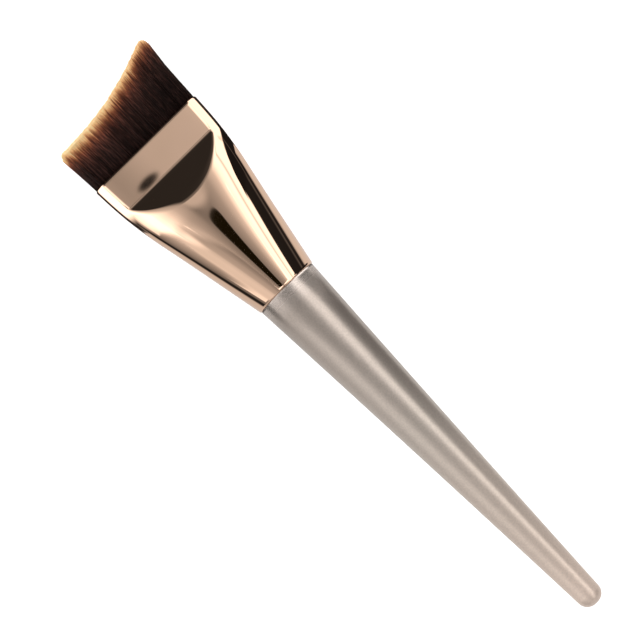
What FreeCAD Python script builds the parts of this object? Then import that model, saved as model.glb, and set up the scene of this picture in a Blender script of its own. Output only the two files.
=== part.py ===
import FreeCAD, Part

import math
import os

import Sketcher

# Angled foundation brush, in millimetres.
# It is built along the Y axis with the mouth of the ferrule at the origin: the bristles
# reach towards +Y, the handle towards -Y, and Z goes through the thickness of the flat head.
# One shared placement then lays the brush on its back, as it comes to rest on a table.

# Driving sizes: alias, value, meaning.
SIZES = [
    ("ferrule_length", 46.0, "mouth to rim, along the axis"),
    ("ferrule_wall", 0.45, "sheet thickness of the drawn tube"),
    ("mouth_width", 31.8, "outside, at the mouth"),
    ("mouth_round", 12.4, "thickness of the oval at the mouth before the band is pressed"),
    ("mouth_fullness", 0.82, "how far that oval fills its corners, a circle does to 0.784"),
    ("band_length", 8.0, "flat band, mouth to the foot of the half-moon facet"),
    ("band_narrowing", 1.0, "mouth width less the width where the band ends"),
    ("band_round", 12.7, "thickness of the oval where the band ends, before pressing"),
    ("band_thickness", 7.0, "across the two pressed flats"),
    ("facet_angle", 22.6, "slope of the half-moon facets, degrees"),
    ("valley_radius", 1.6, "between flat band and facet"),
    ("press_radius", 0.8, "rounded edge round band and facet"),
    ("knee_place", 15.0, "mouth to the start of the straight taper"),
    ("knee_narrowing", 3.0, "mouth width less the width where the straight taper starts"),
    ("knee_thickness", 12.8, "outside, at the start of the taper"),
    ("knee_fullness", 0.84, "how far the oval fills its corners there"),
    ("taper_hollow", 0.15, "how much thinner than straight the taper is halfway"),
    ("rim_diameter", 16.5, "outside, round end of the ferrule"),
    ("rim_radius", 0.3, "rolled edge at the round end"),
    ("mouth_edge", 0.15, "rounding of the cut edge at the mouth"),
    ("handle_length", 100.8, "shoulder to the rounded end"),
    ("rim_step", 0.2, "how far the rim stands proud of the handle's shoulder"),
    ("handle_hollow", 0.13, "how far the long taper is hollowed halfway"),
    ("handle_end", 6.0, "diameter of the taper carried to the very end"),
    ("handle_tip_radius", 2.2, "rounding of the end"),
    ("shoulder_bevel", 0.15, "broken edge of the shoulder"),
    ("tenon_length", 18.0, "part of the handle inside the ferrule"),
    ("tenon_lead", 0.8, "chamfer at the tenon's end"),
    ("groove_count", 3, "glue grooves in the tenon"),
    ("groove_width", 1.2, "along the tenon"),
    ("groove_depth", 0.5, "below the tenon's end radius"),
    ("groove_pitch", 4.5, "from groove to groove"),
    ("groove_start", 4.0, "shoulder to the first groove"),
    ("glue_gap", 0.25, "tenon to the inside of the ferrule, all round"),
    ("glue_length", 15.5, "length of the glue sleeve"),
    ("glue_setback", 0.5, "glue sleeve to the ferrule's rim"),
    ("bond_gap", 0.03, "free film between a filling and the wall round it"),
    ("bristle_long", 18.2, "mouth to the tip on the long side"),
    ("bristle_short", 12.4, "mouth to the tip on the short side"),
    ("bristle_root", 12.5, "mouth to the filament roots inside"),
    ("long_flare", 1.4, "spread of the long side at its tip"),
    ("short_flare", 0.5, "spread of the short side at the same height"),
    ("thick_flare", 0.45, "spread of each broad face at the same height"),
    ("long_corner", 1.9, "rounded corner of the long side"),
    ("short_corner", 1.2, "rounded corner of the short side"),
    ("tip_dome", 2.2, "rounding of the tip towards both broad faces"),
    ("tuft_count", 64, "ridges round the bundle"),
    ("tuft_depth", 0.16, "hollow between two ridges"),
    ("plug_front", 9.5, "mouth to the front of the resin plug"),
    ("plug_length", 8.0, "along the axis"),
]

# How far the pull points of a four-cornered closed curve reach into its corners for a circle.
ROUND_FULLNESS = 0.7836

# Sizes that follow from the driving ones: alias, formula, meaning.
WORKED = [
    ("band_width", "=mouth_width - band_narrowing", "outside, where the band ends"),
    ("knee_width", "=mouth_width - knee_narrowing", "outside, at the start of the taper"),
    ("taper_length", "=ferrule_length - knee_place", "straight taper of the ferrule"),
    ("taper_narrowing", "=knee_width - rim_diameter", "over that length"),
    ("taper_thickening", "=rim_diameter - knee_thickness", "over that length"),
    ("taper_rounding", f"=knee_fullness - {ROUND_FULLNESS}", "over that length"),
    ("rest_tilt", "=atan(taper_thickening / 2 / taper_length)",
     "the brush lies on its rim and on its knee"),
    ("rest_height", "=rim_diameter / 2 * cos(rest_tilt) - ferrule_length * sin(rest_tilt)",
     "mouth centre above the table"),
    ("rest_forward", "=(ferrule_length + handle_length - bristle_long) / 2 * cos(rest_tilt)",
     "mouth centre ahead of the middle of the brush"),
    ("rest_aside", "=(short_flare - long_flare) / 2", "mouth centre beside that middle"),
    ("tenon_place", "=ferrule_length - tenon_length", "mouth to the tenon's end"),
    ("tenon_root", "=rim_diameter / 2 - ferrule_wall - glue_gap", "radius at the shoulder"),
    ("tenon_tip", "=tenon_root - tenon_length * tan(rest_tilt)", "radius at the tenon's end"),
    ("handle_top", "=rim_diameter - 2 * rim_step", "diameter at the shoulder"),
    ("handle_waist", "=(handle_top + handle_end) / 2 - 2 * handle_hollow", "diameter halfway"),
    ("whole_length", "=ferrule_length + handle_length", "mouth to the handle's end"),
]

# Small numbers of the modelling itself, not sizes of the brush.
TOUCH = 1e-4
LEAST_RADIUS = 0.1
TIP_MARGIN = 0.05
LOFTED = "Part::GeomBSplineSurface"

# Sections that keep the ferrule's taper straight, as shares of its length.
TAPER_SHARES = (0.2, 0.5, 0.8)

# Pull points of the S-shaped tip, as shares of its width and of its rise.
FIRST_PULL = 0.52
SECOND_PULL = 0.80
SECOND_RISE = 0.60

doc = FreeCAD.newDocument("foundation_brush")
sheet = doc.addObject("Spreadsheet::Sheet", "Sizes")


def fill_sheet():
    """Write every driving and every worked size into a cell with its alias."""
    for row, (alias, value, meaning) in enumerate(SIZES + WORKED, start=1):
        sheet.set(f"A{row}", str(value))
        sheet.set(f"B{row}", meaning)
        sheet.setAlias(f"A{row}", alias)
    doc.recompute()


def size(alias):
    """One size of the sheet as a plain number."""
    value = sheet.get(alias)
    return float(getattr(value, "Value", value))


def bind(item, path, formula):
    item.setExpression(path, formula)


def new_sketch(body, name, role, offset=None):
    """A sketch on one of the body's own origin planes, moved along its normal."""
    sketch = body.newObject("Sketcher::SketchObject", name)
    plane = next(item for item in body.Origin.OriginFeatures if item.Role == role)
    sketch.AttachmentSupport = [(plane, "")]
    sketch.MapMode = "FlatFace"
    if offset:
        bind(sketch, "AttachmentOffset.Base.z", offset)
    return sketch


def measure(sketch, name, kind, where, formula):
    """A named dimension of a sketch, driven by a formula."""
    start = sketch.evalExpression(formula)
    index = sketch.addConstraint(Sketcher.Constraint(kind, *where, float(start)))
    sketch.renameConstraint(index, name)
    bind(sketch, f"Constraints.{name}", formula)


def corner_at(sketch, name, line, x=None, y=None):
    """Hold the start of a line at a place given by formulas."""
    if x:
        measure(sketch, f"{name}_x", "DistanceX", (-1, 1, line, 1), x)
    if y:
        measure(sketch, f"{name}_y", "DistanceY", (-1, 1, line, 1), y)


def outline(sketch, corners):
    """A closed polygon, its corners (x, y) numbers to start from."""
    points = [FreeCAD.Vector(x, y, 0) for x, y in corners]
    count = len(points)
    for n in range(count):
        sketch.addGeometry(Part.LineSegment(points[n], points[(n + 1) % count]), False)
    for n in range(count):
        sketch.addConstraint(Sketcher.Constraint("Coincident", n, 2, (n + 1) % count, 1))


def oval_pulls(fullness):
    """Pull points of a closed oval of half width and half thickness 1, from its long end on."""
    reach = (3 - fullness) / 2
    return [(fullness, -fullness), (reach, 0), (fullness, fullness), (0, reach),
            (-fullness, fullness), (-reach, 0), (-fullness, -fullness), (0, -reach)]


def oval_curve(half_width, half_thickness, fullness):
    points = [FreeCAD.Vector(x * half_width, y * half_thickness, 0)
              for x, y in oval_pulls(fullness)]
    return Part.BSplineCurve(points, None, None, True, 3, None, False)


def oval_section(body, name, place, width, thickness, fullness):
    """An oval across the brush, its long diameter along X, held by its pull points."""
    sketch = new_sketch(body, name, "XZ_Plane", place)
    half_width = float(sketch.evalExpression(width)) / 2
    half_thickness = float(sketch.evalExpression(thickness)) / 2
    start = oval_curve(half_width, half_thickness, float(sketch.evalExpression(fullness)))
    oval = sketch.addGeometry(start, False)
    sketch.exposeInternalGeometry(oval)
    low_right, right, high_right, high, high_left, left, low_left, low = range(oval + 1, oval + 9)
    sketch.addConstraint(Sketcher.Constraint("PointOnObject", right, 3, -1))
    sketch.addConstraint(Sketcher.Constraint("PointOnObject", high, 3, -2))
    measure(sketch, "reach", "DistanceX", (-1, 1, right, 3),
            f"({width}) * (3 - ({fullness})) / 4")
    measure(sketch, "rise", "DistanceY", (-1, 1, high, 3),
            f"({thickness}) * (3 - ({fullness})) / 4")
    measure(sketch, "corner_x", "DistanceX", (-1, 1, high_right, 3), f"({width}) * ({fullness}) / 2")
    measure(sketch, "corner_y", "DistanceY", (-1, 1, high_right, 3),
            f"({thickness}) * ({fullness}) / 2")
    for one, other in ((right, left), (high, low), (high_right, low_left), (high_left, low_right)):
        sketch.addConstraint(Sketcher.Constraint("Symmetric", one, 3, other, 3, -1, 1))
    sketch.addConstraint(Sketcher.Constraint("Symmetric", high_right, 3, high_left, 3, -2))
    return sketch


def edge_names(shape, wanted):
    """Names of the edges of a shape that pass a test."""
    return [f"Edge{n}" for n, edge in enumerate(shape.Edges, start=1) if wanted(shape, edge)]


def round_edges(body, name, wanted, radius):
    """Round those edges of the body's last feature that pass a test."""
    doc.recompute()
    base = body.Tip
    fillet = body.newObject("PartDesign::Fillet", name)
    fillet.Base = (base, edge_names(base.Shape, wanted))
    bind(fillet, "Radius", radius)


def lies_at(edge, place):
    """Whether a whole edge lies in the plane across the brush at a place along it."""
    box = edge.BoundBox
    return abs(box.YMin - place) < TOUCH and abs(box.YMax - place) < TOUCH


def pressed_form(name, inset):
    """The drawn tube, pressed flat at its mouth: a full form whose skin lies below the outside."""
    body = doc.addObject("PartDesign::Body", name)
    loft = body.newObject("PartDesign::AdditiveLoft", f"{name}_tube")
    ovals = [("mouth", "0", "Sizes.mouth_width", "Sizes.mouth_round", "Sizes.mouth_fullness"),
             ("band", "Sizes.band_length", "Sizes.band_width", "Sizes.band_round",
              "Sizes.mouth_fullness"),
             ("knee", "Sizes.knee_place", "Sizes.knee_width", "Sizes.knee_thickness",
              "Sizes.knee_fullness")]
    for n, share in enumerate(TAPER_SHARES, start=1):
        bow = round(4 * share * (1 - share), 3)
        ovals.append((f"taper_{n}", f"Sizes.knee_place + {share} * Sizes.taper_length",
                      f"Sizes.knee_width - {share} * Sizes.taper_narrowing",
                      f"Sizes.knee_thickness + {share} * Sizes.taper_thickening"
                      f" - {bow} * Sizes.taper_hollow",
                      f"Sizes.knee_fullness - {share} * Sizes.taper_rounding"))
    ovals.append(("rim", "Sizes.ferrule_length", "Sizes.rim_diameter", "Sizes.rim_diameter",
                  f"{ROUND_FULLNESS}"))
    mouth, *others = [
        oval_section(body, f"{name}_{step}", place, f"{width} - 2 * ({inset})",
                     f"{thickness} - 2 * ({inset})", fullness)
        for step, place, width, thickness, fullness in ovals]
    loft.Profile = mouth
    loft.Sections = others
    press_flats(body, name, inset)
    return body


def press_flats(body, name, inset):
    """Press the flat band and its half-moon facet into both broad sides, and round them."""
    half = f"Sizes.band_thickness / 2 - ({inset})"
    foot = f"-Sizes.band_length - ({inset}) * tan(Sizes.facet_angle * 1 deg / 2)"
    clear = "Sizes.rim_diameter"
    sketch = new_sketch(body, f"{name}_press", "YZ_Plane")
    rise = size("rim_diameter") - size("band_thickness") / 2
    slope = math.tan(math.radians(size("facet_angle")))
    outline(sketch, [(1, size("band_thickness") / 2),
                     (-size("band_length"), size("band_thickness") / 2),
                     (-size("band_length") - rise / slope, size("rim_diameter")),
                     (1, size("rim_diameter"))])
    flat, facet, top, front = range(4)
    sketch.addConstraint(Sketcher.Constraint("Horizontal", flat))
    sketch.addConstraint(Sketcher.Constraint("Horizontal", top))
    sketch.addConstraint(Sketcher.Constraint("Vertical", front))
    corner_at(sketch, "mouth", flat, x="1")
    corner_at(sketch, "foot", facet, x=foot, y=half)
    corner_at(sketch, "clear", top, y=clear)
    measure(sketch, "slope", "DistanceX", (top, 1, facet, 1),
            f"(Sizes.rim_diameter - ({half})) / tan(Sizes.facet_angle * 1 deg)")
    before = volume_of(body)
    pocket = body.newObject("PartDesign::Pocket", f"{name}_flat")
    pocket.Profile = sketch
    pocket.SideType = "Symmetric"
    bind(pocket, "Length", "Sizes.mouth_width * 2")
    mirror = body.newObject("PartDesign::Mirrored", f"{name}_flats")
    mirror.Originals = [pocket]
    mirror.MirrorPlane = (next(p for p in body.Origin.OriginFeatures if p.Role == "XY_Plane"), [""])
    body.Tip = mirror
    check_cut(body, before)

    def in_valley(_, edge):
        straight = isinstance(edge.Curve, Part.Line)
        return straight and edge.BoundBox.YLength < TOUCH and edge.BoundBox.YMax < -TOUCH

    def round_the_press(form, edge):
        kinds = {face.Surface.TypeId for face in form.ancestorsOfType(edge, Part.Face)}
        return len(kinds) == 2 and LOFTED in kinds and edge.BoundBox.YLength > TOUCH

    round_edges(body, f"{name}_valleys", in_valley, f"Sizes.valley_radius + ({inset})")
    round_edges(body, f"{name}_edges", round_the_press,
                f"max(Sizes.press_radius - ({inset}); {LEAST_RADIUS})")


def volume_of(body):
    doc.recompute()
    return body.Shape.Volume


def check_cut(body, before):
    """Stop if a pocket or groove took nothing away."""
    if volume_of(body) > before - TOUCH:
        raise RuntimeError(f"{body.Label}: a cut removed nothing")


def make_ferrule():
    """The thin pressed shell, open at both ends."""
    outside = pressed_form("ferrule_outside", "0")
    round_edges(outside, "mouth_rounding", lambda _, edge: lies_at(edge, 0), "Sizes.mouth_edge")
    round_edges(outside, "rim_rounding", lambda _, edge: lies_at(edge, -size("ferrule_length")),
                "Sizes.rim_radius")
    inside = pressed_form("ferrule_inside", "Sizes.ferrule_wall")
    shell = doc.addObject("Part::Cut", "ferrule")
    shell.Base = outside
    shell.Tool = inside
    return shell


def turned_handle(name):
    """The turned handle with its grooved tenon."""
    body = doc.addObject("PartDesign::Body", name)
    sketch = new_sketch(body, f"{name}_profile", "XY_Plane")
    shoulder = -size("ferrule_length")
    end = -size("whole_length")
    tenon_end = -size("tenon_place")
    outline_points = [(0, tenon_end), (size("tenon_tip") - size("tenon_lead"), tenon_end),
                      (size("tenon_tip"), tenon_end - size("tenon_lead")),
                      (size("tenon_root"), shoulder),
                      (size("handle_top") / 2 - size("shoulder_bevel"), shoulder),
                      (size("handle_top") / 2, shoulder - size("shoulder_bevel")),
                      (size("handle_waist") / 2, (shoulder + end) / 2),
                      (size("handle_end") / 2, end), (0, end)]
    outline(sketch, outline_points)
    places = [
        ("tenon_axis", "0", "-Sizes.tenon_place"),
        ("tenon_face", "Sizes.tenon_tip - Sizes.tenon_lead", "-Sizes.tenon_place"),
        ("tenon_lead", "Sizes.tenon_tip", "-Sizes.tenon_place - Sizes.tenon_lead"),
        ("tenon_root", "Sizes.tenon_root", "-Sizes.ferrule_length"),
        ("shoulder", "Sizes.handle_top / 2 - Sizes.shoulder_bevel", "-Sizes.ferrule_length"),
        ("bevel", "Sizes.handle_top / 2", "-Sizes.ferrule_length - Sizes.shoulder_bevel"),
        ("waist", "Sizes.handle_waist / 2", "-Sizes.ferrule_length - Sizes.handle_length / 2"),
        ("end", "Sizes.handle_end / 2", "-Sizes.whole_length"),
        ("end_axis", "0", "-Sizes.whole_length"),
    ]
    for n, (name, x, y) in enumerate(places):
        corner_at(sketch, name, n, x, y)
    turned = body.newObject("PartDesign::Revolution", f"{name}_turned")
    turned.Profile = sketch
    turned.ReferenceAxis = (sketch, ["V_Axis"])
    turned.Angle = 360
    cut_glue_grooves(body, name)
    round_edges(body, f"{name}_tip", lambda _, edge: lies_at(edge, end), "Sizes.handle_tip_radius")
    return body


def cut_glue_grooves(body, name):
    """Rings turned into the tenon, which the glue fills."""
    before = volume_of(body)
    sketch = new_sketch(body, f"{name}_groove_profile", "XY_Plane")
    inner = size("tenon_tip") - size("groove_depth")
    outer = size("rim_diameter") / 2
    low = -size("ferrule_length") + size("groove_start")
    outline(sketch, [(inner, low), (outer, low), (outer, low + size("groove_width")),
                     (inner, low + size("groove_width"))])
    bottom, outer_side, top, inner_side = range(4)
    for side in (bottom, top):
        sketch.addConstraint(Sketcher.Constraint("Horizontal", side))
    for side in (outer_side, inner_side):
        sketch.addConstraint(Sketcher.Constraint("Vertical", side))
    corner_at(sketch, "inner", bottom, "Sizes.tenon_tip - Sizes.groove_depth",
              "Sizes.groove_start - Sizes.ferrule_length")
    corner_at(sketch, "outer", top, "Sizes.rim_diameter / 2",
              "Sizes.groove_start + Sizes.groove_width - Sizes.ferrule_length")
    groove = body.newObject("PartDesign::Groove", f"{name}_groove")
    groove.Profile = sketch
    groove.ReferenceAxis = (sketch, ["V_Axis"])
    groove.Angle = 360
    doc.recompute()
    grooves = body.newObject("PartDesign::LinearPattern", f"{name}_grooves")
    grooves.Originals = [groove]
    grooves.Direction = (sketch, ["V_Axis"])
    grooves.Mode = "Spacing"
    bind(grooves, "Offset", "Sizes.groove_pitch")
    bind(grooves, "Occurrences", "Sizes.groove_count")
    body.Tip = grooves
    check_cut(body, before)


def slab(name, start, length):
    """A box right across the brush, from a place behind the mouth and further back."""
    box = doc.addObject("Part::Box", name)
    bind(box, "Length", "Sizes.mouth_width")
    bind(box, "Height", "Sizes.mouth_width")
    bind(box, "Width", length)
    bind(box, ".Placement.Base.x", "-Sizes.mouth_width / 2")
    bind(box, ".Placement.Base.z", "-Sizes.mouth_width / 2")
    bind(box, ".Placement.Base.y", f"-({start}) - ({length})")
    return box


def make_handle_glue():
    """The glue that fills the ferrule round the tenon, cut by a second turning of the handle."""
    filling = pressed_form("glue_filling", "Sizes.ferrule_wall + Sizes.bond_gap")
    ring = slab("glue_slab", "Sizes.ferrule_length - Sizes.glue_setback - Sizes.glue_length",
                "Sizes.glue_length")
    solid = doc.addObject("Part::Common", "glue_solid")
    solid.Base = filling
    solid.Tool = ring
    glue = doc.addObject("Part::Cut", "handle_glue")
    glue.Base = solid
    glue.Tool = turned_handle("tenon_space")
    return glue


def bundle_outline(place, inset):
    """Ridged outline of the filament bundle at a height above the mouth, negative inside it."""
    cover = size("ferrule_wall") + size("bond_gap") + inset
    spread = max(place, 0) / size("bristle_long")
    behind = -place
    if behind > size("band_length"):
        half_width, half_round = size("knee_width") / 2, size("band_round") / 2
    elif behind > 0:
        half_width, half_round = size("band_width") / 2, size("band_round") / 2
    else:
        half_width, half_round = size("mouth_width") / 2, size("mouth_round") / 2
    left = half_width - cover + size("short_flare") * spread
    right = half_width - cover + size("long_flare") * spread
    flat = size("band_thickness") / 2 - cover + size("thick_flare") * spread
    bulge = half_round - cover + size("thick_flare") * spread
    oval = oval_curve((left + right) / 2, bulge, size("mouth_fullness"))
    level = Part.Line(FreeCAD.Vector(0, flat, 0), FreeCAD.Vector(1, flat, 0))
    crossing = oval.parameter(oval.intersectCC(level)[0].toShape().Point)
    corner = min(crossing, 0.5 - crossing)
    right_side = oval.toShape(-corner, corner)
    left_side = oval.toShape(0.5 - corner, 0.5 + corner)
    ends = [side.valueAt(at) for side in (right_side, left_side)
            for at in (side.FirstParameter, side.LastParameter)]
    back = Part.makeLine(ends[1], ends[2])
    front = Part.makeLine(ends[3], ends[0])
    wire = Part.Wire([right_side, back, left_side, front])
    wire.rotate(FreeCAD.Vector(), FreeCAD.Vector(1, 0, 0), 90)
    wire.translate(FreeCAD.Vector((right - left) / 2, place, 0))
    return wire


def ridged_section(place, swell):
    """One section of the bundle: crests on its outline, and a hollow between every two."""
    steps = 2 * int(size("tuft_count"))
    crests = bundle_outline(place, -swell).discretize(Number=steps + 1)
    hollows = bundle_outline(place, size("tuft_depth") - swell).discretize(Number=steps + 1)
    points = [(crests if n % 2 else hollows)[n] for n in range(steps)]
    return Part.makePolygon(points + points[:1])


def filament_bundle(swell=0.0):
    """The whole ridged bundle, roots to beyond the tip, swollen a little for its own socket."""
    places = (-size("bristle_root") - swell, -size("band_length"), 0.0,
              size("bristle_long") + size("tip_dome"))
    sections = [ridged_section(place, swell) for place in places]
    return Part.makeLoft(sections, True, True)


def tip_form():
    """What the cutter leaves: an S-shaped top, rounded at both corners and towards both faces."""
    half = size("mouth_width") / 2 - size("ferrule_wall") - size("bond_gap")
    left = -half - size("short_flare") - TIP_MARGIN
    right = half + size("long_flare") + TIP_MARGIN
    low = size("bristle_short")
    width = right - left
    slope = (1 - SECOND_RISE) * (size("bristle_long") - low) / ((1 - SECOND_PULL) * width)
    trimmed = size("long_corner") * (slope + math.hypot(1, slope) - 1)
    high = size("bristle_long") + trimmed
    rise = high - low
    depth = size("band_thickness") / 2 - size("ferrule_wall") + size("thick_flare") + TIP_MARGIN
    bottom = -size("bristle_root") - TIP_MARGIN
    poles = [(left, low), (left + FIRST_PULL * width, low),
             (left + SECOND_PULL * width, low + SECOND_RISE * rise), (right, high)]
    curve = Part.BezierCurve()
    curve.setPoles([FreeCAD.Vector(x, y, -depth) for x, y in poles])
    corners = [FreeCAD.Vector(x, y, -depth) for x, y in
               ((right, high), (right, bottom), (left, bottom), (left, low))]
    sides = [Part.LineSegment(a, b).toShape() for a, b in zip(corners, corners[1:])]
    face = Part.Face(Part.Wire([curve.toShape()] + sides))
    block = face.extrude(FreeCAD.Vector(0, 0, 2 * depth))

    def upright_at(x):
        return [edge for edge in block.Edges if edge.BoundBox.ZLength > depth
                and abs(edge.BoundBox.XMin - x) < TOUCH and edge.BoundBox.YMin > 0]

    block = block.makeFillet(size("long_corner"), upright_at(right))
    block = block.makeFillet(size("short_corner"), upright_at(left))
    tip_edges = [edge for edge in block.Edges if edge.BoundBox.ZLength < TOUCH
                 and edge.BoundBox.YMax > 0]
    return block.makeFillet(size("tip_dome"), tip_edges)


def make_bristles():
    bristles = doc.addObject("Part::Feature", "bristles")
    bristles.Shape = filament_bundle().common(tip_form()).Solids[0]
    return bristles


def make_epoxy_plug():
    """Resin across the whole ferrule, set round the roots of the filaments."""
    filling = pressed_form("plug_filling", "Sizes.ferrule_wall + Sizes.bond_gap")
    block = slab("plug_slab", "Sizes.plug_front", "Sizes.plug_length")
    solid = doc.addObject("Part::Common", "plug_solid")
    solid.Base = filling
    solid.Tool = block
    roots = doc.addObject("Part::Feature", "root_space")
    roots.Shape = filament_bundle(size("bond_gap"))
    plug = doc.addObject("Part::Cut", "epoxy_plug")
    plug.Base = solid
    plug.Tool = roots
    return plug


def lay_down(item):
    """Lay a finished piece down with the others, as the brush comes to rest."""
    lean = FreeCAD.Rotation(FreeCAD.Vector(-1, 0, 0), size("rest_tilt"))
    item.Placement = FreeCAD.Placement(FreeCAD.Vector(), lean)
    bind(item, ".Placement.Rotation.Angle", "Sizes.rest_tilt")
    bind(item, ".Placement.Base.x", "Sizes.rest_aside")
    bind(item, ".Placement.Base.y", "Sizes.rest_forward")
    bind(item, ".Placement.Base.z", "Sizes.rest_height")


def check_document():
    """Stop if any object of the document failed."""
    for item in doc.Objects:
        if {"Invalid", "Error"} & set(item.State):
            raise RuntimeError(f"{item.Label} failed: {item.State}")


def write_nodes(pieces):
    """Check each piece and write it to its own file."""
    os.makedirs("parts", exist_ok=True)
    for piece in pieces:
        shape = piece.Shape
        if shape.isNull() or not shape.isValid() or not shape.Solids:
            raise RuntimeError(f"{piece.Label} has no sound solid")
    for piece in pieces:
        piece.Shape.exportStep(f"parts/{piece.Label}.step")
        print(f"{piece.Label}: {piece.Shape.Volume:.1f} mm3, {len(piece.Shape.Solids)} solid")


fill_sheet()
pieces = [make_ferrule(), turned_handle("handle"), make_handle_glue(), make_epoxy_plug(),
          make_bristles()]
doc.recompute()
for piece in pieces:
    lay_down(piece)
doc.recompute()
check_document()
write_nodes(pieces)
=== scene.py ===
import math

import bpy
import numpy as np
from mathutils import Euler, Matrix, Vector


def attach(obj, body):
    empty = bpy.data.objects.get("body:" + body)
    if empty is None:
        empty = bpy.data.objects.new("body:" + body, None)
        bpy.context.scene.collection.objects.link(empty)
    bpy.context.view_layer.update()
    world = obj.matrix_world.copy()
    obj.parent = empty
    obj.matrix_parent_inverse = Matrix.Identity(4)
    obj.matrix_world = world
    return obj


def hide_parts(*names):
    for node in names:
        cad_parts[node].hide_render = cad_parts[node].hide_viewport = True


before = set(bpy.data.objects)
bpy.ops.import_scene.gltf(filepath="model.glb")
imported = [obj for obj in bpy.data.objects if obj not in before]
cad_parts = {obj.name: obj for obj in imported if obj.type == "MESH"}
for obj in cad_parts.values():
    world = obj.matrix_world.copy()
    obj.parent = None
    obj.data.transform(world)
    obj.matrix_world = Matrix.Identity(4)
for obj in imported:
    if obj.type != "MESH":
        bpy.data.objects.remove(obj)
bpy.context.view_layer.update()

# Everything is built in millimetres along Y, the mouth of the ferrule at the origin and the
# bristles towards +Y, then laid down as the brush rests and turned into metres.
MM = 0.001

# Ferrule. A station is a place behind the mouth with the tube's half width, half thickness and
# fullness there. The straight taper runs from the knee to the rim.
FERRULE_LENGTH = 46.0
RIM_RADIUS = 8.25
ROUND_FULLNESS = 0.7836
KNEE = np.array((15.0, 14.4, 6.4, 0.84))
RIM = np.array((FERRULE_LENGTH, RIM_RADIUS, RIM_RADIUS, ROUND_FULLNESS))
# The flat end and the soft bend round the knee, before the taper runs straight.
BEND_STATIONS = [
    (0.0, 15.90, 6.550, 0.820),
    (5.0, 15.64, 6.560, 0.817),
    (9.0, 15.29, 6.460, 0.823),
    (12.0, 14.91, 6.300, 0.833),
    (13.5, 14.69, 6.290, 0.838),
    (15.0, 14.45, 6.372, 0.840),
    (17.0, 14.10, 6.506, 0.838),
    (19.0, 13.70, 6.636, 0.834),
    (21.2, 13.23, 6.772, 0.8287),
]
STATIONS = np.array(BEND_STATIONS + [tuple(KNEE + share * (RIM - KNEE)) for share in (0.5, 0.8, 1.0)])
WALL = 0.45
# The press leaves a flat band at the mouth and a facet that climbs out of it. VALLEY and
# PRESS_EDGE are how softly the two meet, and how softly they leave the round tube.
BAND_HALF = 3.5
BAND_LENGTH = 8.5
FACET_SLOPE = math.tan(math.radians(22.6))
VALLEY = 0.25
PRESS_EDGE = 0.42
# The mesh is finest where the facet leaves the tube.
FINE_FROM = 7.0
FINE_TO = 16.5
MOUTH_BEVEL = 0.12
MOUTH_LIP = 0.2
RIM_ROUND = 0.3

# Handle: its radius narrows from HANDLE_TOP to HANDLE_END, slightly hollow between them, and
# its end is rounded with the radius HANDLE_TIP.
HANDLE_LENGTH = 100.8
HANDLE_TOP = 8.05
HANDLE_END = 3.0
HANDLE_HOLLOW = 0.13
HANDLE_TIP = 2.8
SHOULDER_ROUND = 0.15
# Tenon inside the ferrule: where it ends behind the mouth, and its radii at both ends.
TENON_END = 28.0
TENON_CHAMFER = 0.8
TENON_TIP = 6.3
TENON_ROOT = 7.5

# Bristles: height, flare and rounded corner of the cut at both sides of the head.
LONG_SIDE = 18.2
SHORT_SIDE = 12.4
LONG_TIP_RISE = 1.05
LONG_FLARE = 1.4
SHORT_FLARE = 0.5
SHORT_BULGE = 0.95
THICK_FLARE = 0.45
LONG_CORNER = 2.5
SHORT_CORNER = 1.25
TIP_DOME = 2.2
# The bundle at its roots: an oval, pressed flat.
ROOT_HALF_WIDTH = 15.42
ROOT_HALF_THICKNESS = 3.02
ROOT_OVAL_HALF = 5.7
BUNDLE_FULLNESS = 0.82
FILAMENTS = 19000
THINNEST = 0.052
THICKEST = 0.078
STRAY_SHARE = 0.04
# Filaments stand in layers, lean together in tufts and share their dye in finer ones. A dye
# tuft's number counts across a layer and goes up by DYE_TUFTS_A_LAYER with each layer.
LAYER = 0.7
LAYER_SHIFT = 0.23
TUFT = 0.62
DYE_TUFT = 0.2
DYE_TUFTS = 4000
DYE_TUFTS_A_LAYER = 211
# The UV map's V is a place's depth under the cut, shifted and shrunk to lie between 0 and 1.
DEPTH_SHIFT = 1.0
DEPTH_SPAN = 25.0

# How the brush lies: on its rim and on its knee.
REST_TILT = math.atan((RIM[2] - KNEE[2]) / (RIM[0] - KNEE[0]))
REST_PLACE = Vector((
    (SHORT_FLARE - LONG_FLARE) / 2,
    (FERRULE_LENGTH + HANDLE_LENGTH - LONG_SIDE) / 2 * math.cos(REST_TILT),
    RIM_RADIUS * math.cos(REST_TILT) - FERRULE_LENGTH * math.sin(REST_TILT),
)) * MM
LYING = Matrix.Translation(REST_PLACE) @ Matrix.Rotation(-REST_TILT, 4, "X") @ Matrix.Scale(MM, 4)

rng = np.random.default_rng(20)


def lay(points):
    """Points in millimetres of the brush's own frame, as they lie on the floor, in metres."""
    points = np.asarray(points, float).reshape(-1, 3)
    matrix = np.array(LYING)
    return points @ matrix[:3, :3].T + matrix[:3, 3]


def new_mesh(name, points, faces):
    """Smoothly shaded mesh of points given in the brush's own frame."""
    mesh = bpy.data.meshes.new(name)
    mesh.from_pydata(lay(points).tolist(), [], faces)
    mesh.update()
    mesh.polygons.foreach_set("use_smooth", [True] * len(mesh.polygons))
    piece = bpy.data.objects.new(name, mesh)
    bpy.context.scene.collection.objects.link(piece)
    return piece


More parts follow.
